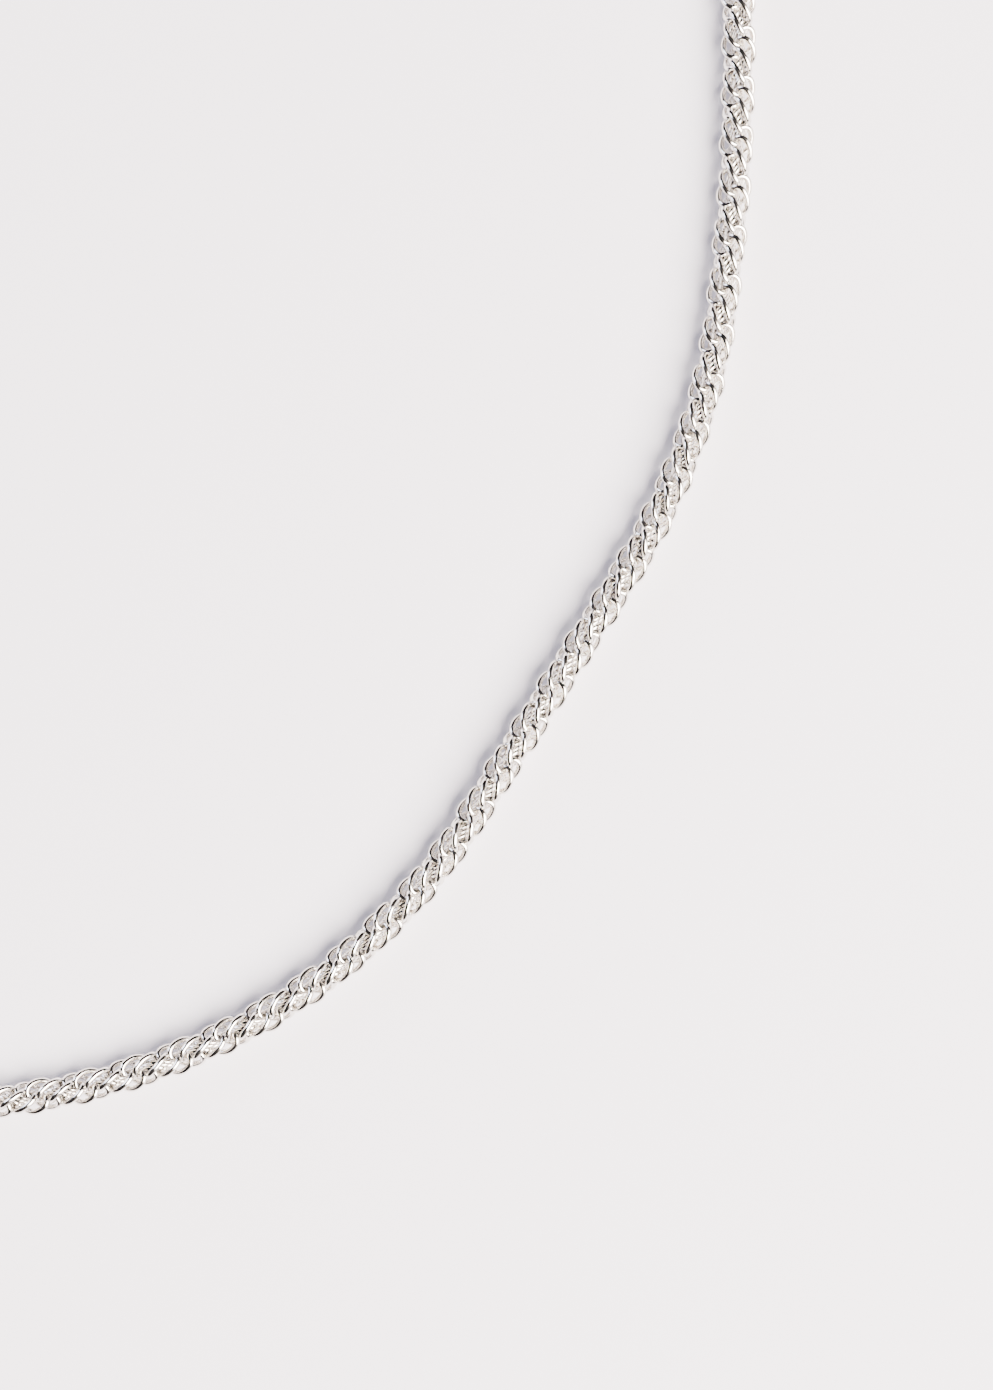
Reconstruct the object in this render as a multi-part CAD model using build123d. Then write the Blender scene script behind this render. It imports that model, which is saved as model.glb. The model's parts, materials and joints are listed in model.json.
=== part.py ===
from build123d import *
import math
import os

# Rope chain necklace, undone and laid in an open U. Millimetres, +Z up, +Y towards the two ends.

# rope chain
wire = 0.31             # ring wire diameter
ring_half_width = 0.64  # wire centre line, across the chain
ring_half_length = 0.965
ring_tip_radius = 0.51
ring_lean = 54.0        # degrees between the ring's normal and the chain
ring_offset = 0.46      # ring centre off the chain's axis
ring_pitch = 0.38
rope_gap = 0.02         # between two stretches of rope
ring_twist = 20.3       # degrees gained per ring, on top of the half turn
run_rings = 44          # rings in one stiff run
flex_rings = 23         # rings in one bending stretch
runs = 18

# how the chain lies, from its middle outwards: (length, turn in degrees)
right_lie = ((24.4, 29.6), (20.0, 28.0), (20.0, 0.3), (20.0, 24.7), (20.0, 8.6), (60.0, 8.0), (70.0, 5.0))
left_lie = ((24.4, 28.5), (22.0, 24.0), (20.0, 7.0), (22.0, 22.0), (20.0, 9.0), (56.0, 7.0), (70.0, 5.0))

# end caps
cap_wall = 0.40
cap_clearance = 0.05
cap_depth = 2.30
cap_floor = 0.50
eye_radius = 0.95
eye_wire = 0.60
lift_length = 22.0      # over which the chain rises into its caps

# jump rings, extender and tag
jump_radius = 1.85
jump_wire = 0.60
link_half_width = 1.30
link_length = 4.20      # along the wire's centre line
link_wire = 0.60
link_play = 0.06
links = 8
tag_length = 9.0
tag_width = 5.0
tag_thickness = 0.70
tag_hole = 1.30

# clasp
clasp_thickness = 2.00
claw_radius = 3.20
claw_reach = 8.00       # from the clasp's eye to the middle of the claw
claw_opening = 1.90
neck_radius = 1.70
neck_reach = 2.90
clasp_eye = 1.05
clasp_gap = 0.06
slot_width = 1.00
trigger_web = 0.88
trigger_pad = 1.70
pivot = (1.50, 3.55)
pivot_boss = 1.00
pin_radius = 0.30
pin_play = 0.03
spring_leaf = 0.12
clasp_dip = 3.0         # degrees, so that the claw rests on the table

rings = runs * run_rings + (runs - 1) * flex_rings
chain_length = rings * ring_pitch
half_chain = chain_length / 2


def arc(centre, radius, start, end):
    return CenterArc(centre, radius, math.degrees(start), math.degrees(end - start))


def ring_line():
    """The ring's centre line, an oval of four arcs."""
    tip = ring_half_length - ring_tip_radius
    waist = (tip**2 - (ring_half_width - ring_tip_radius) ** 2) / (2 * (ring_half_width - ring_tip_radius))
    side = ring_half_width + waist
    meet = math.atan2(tip, waist)
    return [
        arc((-waist, 0), side, -meet, meet),
        arc((0, tip), ring_tip_radius, meet, math.pi - meet),
        arc((waist, 0), side, math.pi - meet, math.pi + meet),
        arc((0, -tip), ring_tip_radius, math.pi + meet, 2 * math.pi - meet),
    ]


def wire_loop(line, thick):
    loop = Wire(line)
    return sweep(Plane(origin=loop @ 0, z_dir=loop % 0) * Circle(thick / 2), path=loop)


ring = Location((ring_offset, 0, 0)) * Rotation(-ring_lean, 0, 0) * wire_loop(ring_line(), wire)
ring_reach = ring_half_length * math.sin(math.radians(ring_lean)) + wire / 2

# the rope's radius, from the farthest point of a ring's centre line
rope_radius = wire / 2 + max(
    math.hypot(ring_offset + (edge @ t).X, (edge @ t).Y * math.cos(math.radians(ring_lean)))
    for edge in ring_line()
    for t in (i / 20 for i in range(21))
)
cap_radius = rope_radius + cap_clearance + cap_wall
cap_lift = cap_radius - rope_radius
link_height = link_half_width * math.sin(math.pi / 4) + link_wire / 2


def ease(x):
    x = min(1.0, max(0.0, x))
    return x * x * (3 - 2 * x)


def height(s):
    """Height of the axis: the rope lies on the table, and lifts into its caps."""
    over = abs(s - half_chain) - half_chain
    if over > 0:
        return cap_radius + (link_height - cap_radius) * ease((over - 4) / 14)
    return rope_radius + cap_lift * ease(1 + over / lift_length)


def walk(lie, distance):
    """Place and heading in the plane after a distance along a lie that starts at the origin along +X."""
    x = y = heading = 0.0
    for length, turn in lie:
        step = min(length, distance)
        bend = math.radians(turn) / length
        chord = 2 * math.sin(bend * step / 2) / bend
        x += chord * math.cos(heading + bend * step / 2)
        y += chord * math.sin(heading + bend * step / 2)
        heading += bend * step
        distance -= step
        if distance <= 0:
            break
    return x + distance * math.cos(heading), y + distance * math.sin(heading), heading


def station(s):
    """Frame on the chain's axis at s from its left end: Z along the chain, X level and outwards."""
    if s >= half_chain:
        x, y, heading = walk(right_lie, s - half_chain)
    else:
        x, y, heading = walk(left_lie, half_chain - s)
        x, heading = -x, -heading
    slope = (height(s + 0.05) - height(s - 0.05)) / 0.1
    along = Vector(math.cos(heading), math.sin(heading), slope)
    out = Vector(math.sin(heading), -math.cos(heading), 0)
    return Plane(origin=(x, y, height(s)), x_dir=out, z_dir=along)


def rope_length(first, count):
    """One stretch of rope at its outer size, following how the chain lies."""
    start = first * ring_pitch + (rope_gap / 2 if first else -ring_reach)
    end = (first + count) * ring_pitch + (-rope_gap / 2 if first + count < rings else ring_reach)
    stops = [station(start + (end - start) * i / 6) for i in range(7)]
    line = Edge.make_spline([stop.origin for stop in stops], tangents=(stops[0].z_dir, stops[-1].z_dir))
    return [sweep(stops[0] * Circle(rope_radius), path=line)]


def hoop(radius, thick, tilt):
    """A round ring whose plane holds the chain's axis, tilted about that axis."""
    return Rotation(0, 0, tilt) * Rotation(90, 0, 0) * Torus(radius, thick / 2)


def end_cap(outwards):
    """Cup over the rope's last rings, with its eye; it opens towards the chain."""
    cavity = rope_radius + cap_clearance
    depth = cap_depth + ring_reach + 0.1
    cup = Pos(0, 0, (depth + cap_floor) / 2 - cap_depth) * Cylinder(cap_radius, depth + cap_floor)
    cup = fillet(cup.edges().filter_by(GeomType.CIRCLE).sort_by(Axis.Z)[-1], 0.35)
    cup -= Pos(0, 0, depth / 2 - cap_depth) * Cylinder(cavity, depth)
    eye = Pos(0, 0, cap_end + eye_radius) * hoop(eye_radius, eye_wire, 45)
    both = cup + eye
    return both if outwards > 0 else Rotation(0, 180, 0) * both


def extender_link(tilt):
    straight = link_length / 2 - link_half_width
    line = [
        Edge.make_line((link_half_width, -straight), (link_half_width, straight)),
        arc((0, straight), link_half_width, 0, math.pi),
        Edge.make_line((-link_half_width, straight), (-link_half_width, -straight)),
        arc((0, -straight), link_half_width, math.pi, 2 * math.pi),
    ]
    return Rotation(0, 0, tilt) * Rotation(90, 0, 0) * wire_loop(line, link_wire)


# how far beyond the chain's end each piece's middle is
cap_end = ring_reach + 0.1 + cap_floor - 0.1
eye_middle = cap_end + eye_radius
jump_middle = eye_middle + eye_radius + jump_radius - (eye_wire + jump_wire) / 2 - link_play
first_link = jump_middle + jump_radius + link_length / 2 - (jump_wire + link_wire) / 2 - link_play
link_step = link_length - link_wire - link_play
tag_middle = first_link + (links - 1) * link_step + link_length / 2 - link_wire / 2 - 5 * link_play
clasp_middle = jump_middle + jump_radius + clasp_eye - (jump_wire + eye_wire) / 2 - link_play

nodes = {}
ring_at = 0
for n in range(1, runs + 1):
    nodes[f"chain_run_{n:02d}"] = rope_length(ring_at, run_rings)
    ring_at += run_rings
    if n < runs:
        nodes[f"chain_flex_{n:02d}"] = rope_length(ring_at, flex_rings)
        ring_at += flex_rings

nodes["end_cap_left"] = [station(0).location * end_cap(-1)]
nodes["end_cap_right"] = [station(chain_length).location * end_cap(1)]
nodes["jump_ring_left"] = [station(-jump_middle).location * hoop(jump_radius, jump_wire, 45)]
nodes["jump_ring_right"] = [station(chain_length + jump_middle).location * hoop(jump_radius, jump_wire, -45)]
for n in range(links):
    place = station(chain_length + first_link + n * link_step)
    nodes[f"extender_link_{n + 1:02d}"] = [place.location * extender_link(45 if n % 2 == 0 else -45)]

# tag: a blank oval plate, lying level in the last link
tag_face = SlotOverall(tag_length, tag_width, rotation=90) - Pos(0, -tag_length / 2 + 2.0) * Circle(tag_hole)
tag = extrude(tag_face, tag_thickness / 2, both=True)
tag = fillet(tag.edges().group_by(Axis.Z)[0] + tag.edges().group_by(Axis.Z)[-1], 0.12)
hang = Pos(0, tag_length / 2 - 2.0 + tag_hole, 0)
tag_place = station(chain_length + tag_middle)
tag_frame = Plane(origin=tag_place.origin, x_dir=-tag_place.x_dir, z_dir=tag_place.z_dir.cross(tag_place.x_dir))
nodes["tag"] = [tag_frame.location * hang * tag]

# clasp, drawn flat with its eye at the origin and its claw along +Y
mouth_low, mouth_high = pivot[1] + 0.75, claw_reach + 1.2
outline = make_hull((Pos(0, claw_reach) * Circle(claw_radius) + Pos(0, neck_reach) * Circle(neck_radius)).edges())
opening = make_hull((Pos(0, claw_reach + 0.35) * Circle(claw_opening) + Pos(-0.3, 5.2) * Circle(0.8)).edges())
claw = outline - opening
mouth = Pos(2.4, (mouth_low + mouth_high) / 2) * Rectangle(4.2, mouth_high - mouth_low)
shut = Pos(2.4, (mouth_low + mouth_high) / 2) * Rectangle(4.2, mouth_high - mouth_low - 2 * clasp_gap)
thumb = Pos(pivot[0] + 1.75, pivot[1] + 0.55) * Circle(0.55)
boss = Pos(*pivot) * Circle(pivot_boss)
tip_swing = Pos(*pivot) * Circle(mouth_high - pivot[1] - clasp_gap)
arm = (claw & shut & tip_swing) + make_hull((boss + thumb).edges())

body = extrude(claw - mouth, clasp_thickness / 2, both=True)
body = fillet(body.edges().filter_by(Plane.XY).filter_by(GeomType.CIRCLE).group_by(SortBy.LENGTH)[-1], 0.45)
body += Rotation(0, 45, 0) * Torus(clasp_eye, eye_wire / 2)
slot = Pos(2.0, pivot[1] - 0.05, 0) * Box(4.1, 2 * pivot_boss + 0.5, slot_width)
body = body - slot - Pos(*pivot) * Cylinder(pin_radius + 0.01, 3)
trigger = extrude(arm, trigger_web / 2, both=True)
trigger += extrude(arm & Pos(2.4, mouth_high - 1.6) * Rectangle(4.2, 3.2), trigger_pad / 2, both=True)
trigger -= Pos(*pivot) * Cylinder(pin_radius + pin_play, 3)
pin = Pos(*pivot) * Cylinder(pin_radius, clasp_thickness)
spring = Pos(0.22, pivot[1] - 0.1, 0) * Box(spring_leaf, 1.5, slot_width - 0.2)

clasp_place = station(-clasp_middle)
outwards = Vector(-clasp_place.z_dir.X, -clasp_place.z_dir.Y, 0).normalized()
dip = math.radians(clasp_dip)
level = Plane(
    origin=clasp_place.origin,
    x_dir=-clasp_place.x_dir,
    z_dir=Vector(0, 0, 1) * math.cos(dip) + outwards * math.sin(dip),
)
for name, piece in (("body", body), ("trigger", trigger), ("pin", pin), ("spring", spring)):
    nodes[f"clasp_{name}"] = [level.location * piece]

if __name__ == "__main__":
    os.makedirs("parts", exist_ok=True)
    boxes = [shape.bounding_box() for shapes in nodes.values() for shape in shapes]
    middle_x = (min(b.min.X for b in boxes) + max(b.max.X for b in boxes)) / 2
    middle_y = (min(b.min.Y for b in boxes) + max(b.max.Y for b in boxes)) / 2
    lowest = min(b.min.Z for b in boxes)
    for name, shapes in nodes.items():
        placed = [Pos(-middle_x, -middle_y, -lowest) * shape for shape in shapes]
        export_step(Compound(children=placed) if len(placed) > 1 else placed[0], f"parts/{name}.step")
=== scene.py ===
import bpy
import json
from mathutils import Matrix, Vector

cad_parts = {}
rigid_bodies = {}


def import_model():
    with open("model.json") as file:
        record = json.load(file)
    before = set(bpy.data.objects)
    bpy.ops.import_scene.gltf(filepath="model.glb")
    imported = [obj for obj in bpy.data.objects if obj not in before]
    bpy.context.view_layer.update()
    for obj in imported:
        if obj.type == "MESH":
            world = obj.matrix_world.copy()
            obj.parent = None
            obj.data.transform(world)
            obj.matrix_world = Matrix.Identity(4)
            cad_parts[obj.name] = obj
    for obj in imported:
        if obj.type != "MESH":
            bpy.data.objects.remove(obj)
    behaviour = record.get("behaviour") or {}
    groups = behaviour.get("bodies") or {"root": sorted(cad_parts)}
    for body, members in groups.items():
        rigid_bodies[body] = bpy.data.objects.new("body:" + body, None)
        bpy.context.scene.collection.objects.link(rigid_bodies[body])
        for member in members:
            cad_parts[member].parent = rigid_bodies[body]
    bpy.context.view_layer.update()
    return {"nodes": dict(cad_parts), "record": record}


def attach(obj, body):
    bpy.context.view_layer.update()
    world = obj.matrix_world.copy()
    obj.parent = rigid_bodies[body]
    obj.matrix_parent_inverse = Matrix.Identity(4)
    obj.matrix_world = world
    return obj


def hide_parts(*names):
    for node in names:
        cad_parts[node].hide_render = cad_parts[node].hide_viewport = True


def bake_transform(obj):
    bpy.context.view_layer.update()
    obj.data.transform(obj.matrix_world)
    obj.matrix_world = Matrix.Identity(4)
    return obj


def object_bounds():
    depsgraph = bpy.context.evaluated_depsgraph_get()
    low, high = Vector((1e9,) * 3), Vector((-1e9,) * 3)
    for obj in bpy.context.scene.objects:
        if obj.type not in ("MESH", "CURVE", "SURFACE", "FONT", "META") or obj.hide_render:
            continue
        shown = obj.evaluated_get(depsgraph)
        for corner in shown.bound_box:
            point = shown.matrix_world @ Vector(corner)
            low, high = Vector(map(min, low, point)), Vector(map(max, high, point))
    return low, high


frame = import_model()
import bpy, json, math, random
from mathutils import Matrix, Vector

random.seed(7)
mm = 0.001


def deselectAll():
    bpy.ops.object.select_all(action="DESELECT")


def channel(value):
    return value / 12.92 if value <= 0.04045 else ((value + 0.055) / 1.055) ** 2.4


def hexColour(code):
    return tuple(channel(int(code[i:i + 2], 16) / 255) for i in (1, 3, 5)) + (1,)


def addNode(tree, kind, settings={}, links={}):
    node = tree.nodes.new(kind)
    for key, value in settings.items():
        if key in node.inputs:
            node.inputs[key].default_value = value
        else:
            setattr(node, key, value)
    for key, source in links.items():
        tree.links.new(source, node.inputs[key])
    return node


# sterling silver, polished: bright, with a faint cloudy tint and fine wear in the gloss
def silver(name, bright, dull, roughness, wear):
    material = bpy.data.materials.new(name)
    material.use_nodes = True
    tree = material.node_tree
    shader = tree.nodes["Principled BSDF"]
    shader.inputs["Metallic"].default_value = 1
    place = addNode(tree, "ShaderNodeTexCoord")
    cloud = addNode(
        tree, "ShaderNodeTexNoise", {"Scale": 1 / (1.6 * mm), "Detail": 3.0}, {"Vector": place.outputs["Object"]},
    )
    tint = addNode(tree, "ShaderNodeMix", {"data_type": "RGBA"})
    tint.inputs[6].default_value = hexColour(bright)
    tint.inputs[7].default_value = hexColour(dull)
    tree.links.new(cloud.outputs["Fac"], tint.inputs[0])
    tree.links.new(tint.outputs[2], shader.inputs["Base Color"])
    spread = addNode(
        tree, "ShaderNodeMapRange", {"To Min": roughness * 0.75, "To Max": roughness * 1.35},
        {"Value": cloud.outputs["Fac"]},
    )
    tree.links.new(spread.outputs["Result"], shader.inputs["Roughness"])
    grain = addNode(
        tree, "ShaderNodeTexNoise", {"Scale": 1 / (0.12 * mm), "Detail": 2.0}, {"Vector": place.outputs["Object"]},
    )
    bump = addNode(tree, "ShaderNodeBump", {"Strength": wear, "Distance": 0.01 * mm}, {"Height": grain.outputs["Fac"]})
    tree.links.new(bump.outputs["Normal"], shader.inputs["Normal"])
    return material


ropeSilver = silver("ropeSilver", "#f6f2ec", "#e6e0d8", 0.17, 0.25)
findingSilver = silver("findingSilver", "#f5f1eb", "#e9e4dd", 0.14, 0.2)
springSteel = silver("springSteel", "#b9b9bc", "#a3a3a8", 0.3, 0.2)
print("materials made", flush=True)

# one ring of the rope, an oval of round wire; the wire is thick enough that neighbours sink into each other
ring = {
    "wire": 0.42 * mm, "halfWidth": 0.62 * mm, "halfLength": 0.96 * mm, "tip": 0.5 * mm,
    "around": 24, "sides": 8,
}


# point on the oval's centre line and the way out from it, a quarter turn at a time
def ovalPoint(turn):
    a, b, r = ring["halfWidth"], ring["halfLength"], ring["tip"]
    tip = b - r
    waist = (tip ** 2 - (a - r) ** 2) / (2 * (a - r))
    side, meet = a + waist, math.atan2(tip, waist)
    sideArc, tipArc = side * meet, r * (math.pi / 2 - meet)
    quarter = sideArc + tipArc
    whole = turn / (math.pi / 2)
    part, rest = int(whole), whole - int(whole)
    along = (rest if part % 2 == 0 else 1 - rest) * quarter
    if along <= sideArc:
        angle = along / side
        x, y = side * math.cos(angle) - waist, side * math.sin(angle)
    else:
        angle = meet + (along - sideArc) / r
        x, y = r * math.cos(angle), tip + r * math.sin(angle)
    flipX = -1 if part % 4 in (1, 2) else 1
    flipY = -1 if part % 4 in (2, 3) else 1
    return Vector((x * flipX, y * flipY, 0)), Vector((math.cos(angle) * flipX, math.sin(angle) * flipY, 0))


def makeRing():
    deselectAll()
    bpy.ops.mesh.primitive_torus_add(
        major_radius=ring["halfLength"], minor_radius=ring["wire"] / 2,
        major_segments=ring["around"], minor_segments=ring["sides"],
    )
    made = bpy.context.object
    for vertex in made.data.vertices:
        flat = math.hypot(vertex.co.x, vertex.co.y)
        turn = math.atan2(vertex.co.y, vertex.co.x) % (2 * math.pi)
        centre, outward = ovalPoint(min(turn, 2 * math.pi - 1e-9))
        vertex.co = centre + outward * (flat - ring["halfLength"]) + Vector((0, 0, vertex.co.z))
    bpy.ops.object.shade_smooth()
    made.data.materials.append(ropeSilver)
    return made


baseRing = makeRing()

# how the rope lies, from its middle outwards: length in mm, turn in degrees
rope = {
    "runs": 18, "runRings": 44, "flexRings": 23,
    "pitch": 0.38, "twist": 20.3, "lean": 62, "offset": 0.42,
    "looseTurn": (0.03, 0.04), "looseSlip": 0.012,
    "rightLie": ((24.4, 29.6), (20, 28), (20, 0.3), (20, 24.7), (20, 8.6), (60, 8), (70, 5)),
    "leftLie": ((24.4, 28.5), (22, 24), (20, 7), (22, 22), (20, 9), (56, 7), (70, 5)),
    "radius": 1.25, "capLift": 0.45, "liftLength": 22,
}
ropeRings = rope["runs"] * rope["runRings"] + (rope["runs"] - 1) * rope["flexRings"]
halfRope = ropeRings * rope["pitch"] / 2


def walk(lie, distance):
    x = y = heading = 0
    for length, turn in lie:
        step = min(length, distance)
        bend = math.radians(turn) / length
        chord = 2 * math.sin(bend * step / 2) / bend
        x += chord * math.cos(heading + bend * step / 2)
        y += chord * math.sin(heading + bend * step / 2)
        heading += bend * step
        distance -= step
        if distance <= 0:
            break
    return x, y, heading


def ropeHeight(s):
    rise = min(1, max(0, 1 + (abs(s - halfRope) - halfRope) / rope["liftLength"]))
    return rope["radius"] + rope["capLift"] * rise * rise * (3 - 2 * rise)


def station(s):
    side = 1 if s >= halfRope else -1
    x, y, heading = walk(rope["rightLie"] if side > 0 else rope["leftLie"], abs(s - halfRope))
    heading *= side
    slope = (ropeHeight(s + 0.05) - ropeHeight(s - 0.05)) / 0.1
    along = Vector((math.cos(heading), math.sin(heading), slope)).normalized()
    out = Vector((math.sin(heading), -math.cos(heading), 0))
    frameHere = Matrix((out, along.cross(out), along)).transposed().to_4x4()
    frameHere.translation = Vector((x * side, y, ropeHeight(s)))
    return frameHere


def ringPlace(number):
    turn = Matrix.Rotation(math.radians(number * (180 + rope["twist"])), 4, "Z")
    lean = Matrix.Translation((rope["offset"], 0, 0)) @ Matrix.Rotation(math.radians(-rope["lean"]), 4, "X")
    place = station((number + 0.5) * rope["pitch"]) @ turn @ lean
    place.translation = place.translation * mm + ropeShift
    return place


def ropePiece(node, first, count):
    deselectAll()
    for number in range(first, first + count):
        place = ringPlace(number)
        one = baseRing.copy()
        one.data = baseRing.data.copy()
        turnX, turnY = (random.gauss(0, spread) for spread in rope["looseTurn"])
        loose = Matrix.Rotation(turnX, 4, "X") @ Matrix.Rotation(turnY, 4, "Y")
        slip = Matrix.Translation([random.gauss(0, rope["looseSlip"] * mm) for _ in range(3)])
        one.data.transform(place @ slip @ loose)
        bpy.context.scene.collection.objects.link(one)
        one.select_set(True)
        bpy.context.view_layer.objects.active = one
    bpy.ops.object.join()
    piece = bpy.context.object
    piece.name = piece.data.name = node.replace("chain", "rope")
    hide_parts(node)
    return piece


bodies = frame["record"]["behaviour"]["bodies"]
joints = {joint["name"]: joint for joint in frame["record"]["behaviour"]["joints"]}
owner = {node: body for body, names in bodies.items() for node in names}
span = rope["runRings"] + rope["flexRings"]
middleJoint = 9
middleFlex = ((middleJoint - 1) * span + rope["runRings"] + rope["flexRings"] / 2) * rope["pitch"]
ropeShift = Vector(joints[f"bend_{middleJoint:02d}"]["pos_m"]) - station(middleFlex).translation * mm

for n in range(rope["runs"]):
    run = f"chain_run_{n + 1:02d}"
    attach(ropePiece(run, n * span, rope["runRings"]), owner[run])
print("rope runs made", flush=True)

for n in range(rope["runs"] - 1):
    first = n * span + rope["runRings"]
    piece = ropePiece(f"chain_flex_{n + 1:02d}", first, rope["flexRings"])
    joint = joints[f"bend_{n + 1:02d}"]
    ends = [station(at * rope["pitch"]).translation * mm + ropeShift for at in (first, first + rope["flexRings"])]
    if joint["parent"] != f"run_{n + 1:02d}":
        ends.reverse()
    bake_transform(piece)
print("bending stretches made", flush=True)
bpy.data.objects.remove(baseRing)

# findings keep their CAD shape
for name, node in frame["nodes"].items():
    if name.startswith("chain"):
        continue
    node.data.materials.clear()
    node.data.materials.append(springSteel if name == "clasp_spring" else findingSilver)
    deselectAll()
    node.select_set(True)
    bpy.context.view_layer.objects.active = node
    bpy.ops.object.shade_smooth_by_angle(angle=math.radians(40))
print("findings painted", flush=True)

# paper, light and camera
lowNow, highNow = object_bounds()
view = {"middle": Vector((41.3 * mm, -88.8 * mm, 0)), "height": 96.5 * mm, "lens": 90}


def paper():
    material = bpy.data.materials.new("paper")
    material.use_nodes = True
    tree = material.node_tree
    shader = tree.nodes["Principled BSDF"]
    shader.inputs["Base Color"].default_value = hexColour("#efedf6")
    shader.inputs["Roughness"].default_value = 0.9
    place = addNode(tree, "ShaderNodeTexCoord")
    fibre = addNode(
        tree, "ShaderNodeTexNoise", {"Scale": 1 / (0.9 * mm), "Detail": 5.0}, {"Vector": place.outputs["Object"]},
    )
    bump = addNode(tree, "ShaderNodeBump", {"Strength": 0.12, "Distance": 0.05 * mm}, {"Height": fibre.outputs["Fac"]})
    tree.links.new(bump.outputs["Normal"], shader.inputs["Normal"])
    return material


deselectAll()
bpy.ops.mesh.primitive_plane_add(size=3, location=(0, 0, lowNow.z - 0.02 * mm))
floor = bpy.context.object
floor.name = "paperSheet"
floor.data.materials.append(paper())


def softLight(name, place, size, power, colour):
    bpy.ops.object.light_add(type="AREA", location=place)
    lamp = bpy.context.object
    lamp.name = name
    lamp.data.size = size
    lamp.data.energy = power
    lamp.data.color = hexColour(colour)[:3]
    lamp.rotation_euler = (view["middle"] - Vector(place)).to_track_quat("-Z", "Y").to_euler()


softLight("windowLight", (0.42, -0.3, 0.5), 0.6, 40.0, "#fff4ea")
softLight("fillLight", (-0.55, 0.25, 0.35), 0.3, 5.0, "#e2e6ff")
world = bpy.data.worlds.new("room")
bpy.context.scene.world = world
world.use_nodes = True
world.node_tree.nodes["Background"].inputs["Color"].default_value = hexColour("#55535a")
world.node_tree.nodes["Background"].inputs["Strength"].default_value = 0.08

camera = bpy.data.cameras.new("camera")
camera.lens = view["lens"]
camera.sensor_width = 36
camera.clip_start = 0.001
cameraObject = bpy.data.objects.new("camera", camera)
bpy.context.scene.collection.objects.link(cameraObject)
cameraObject.location = view["middle"] + Vector((0, 0, view["height"] * view["lens"] / 36))
bpy.context.scene.camera = cameraObject
print("stage set", flush=True)
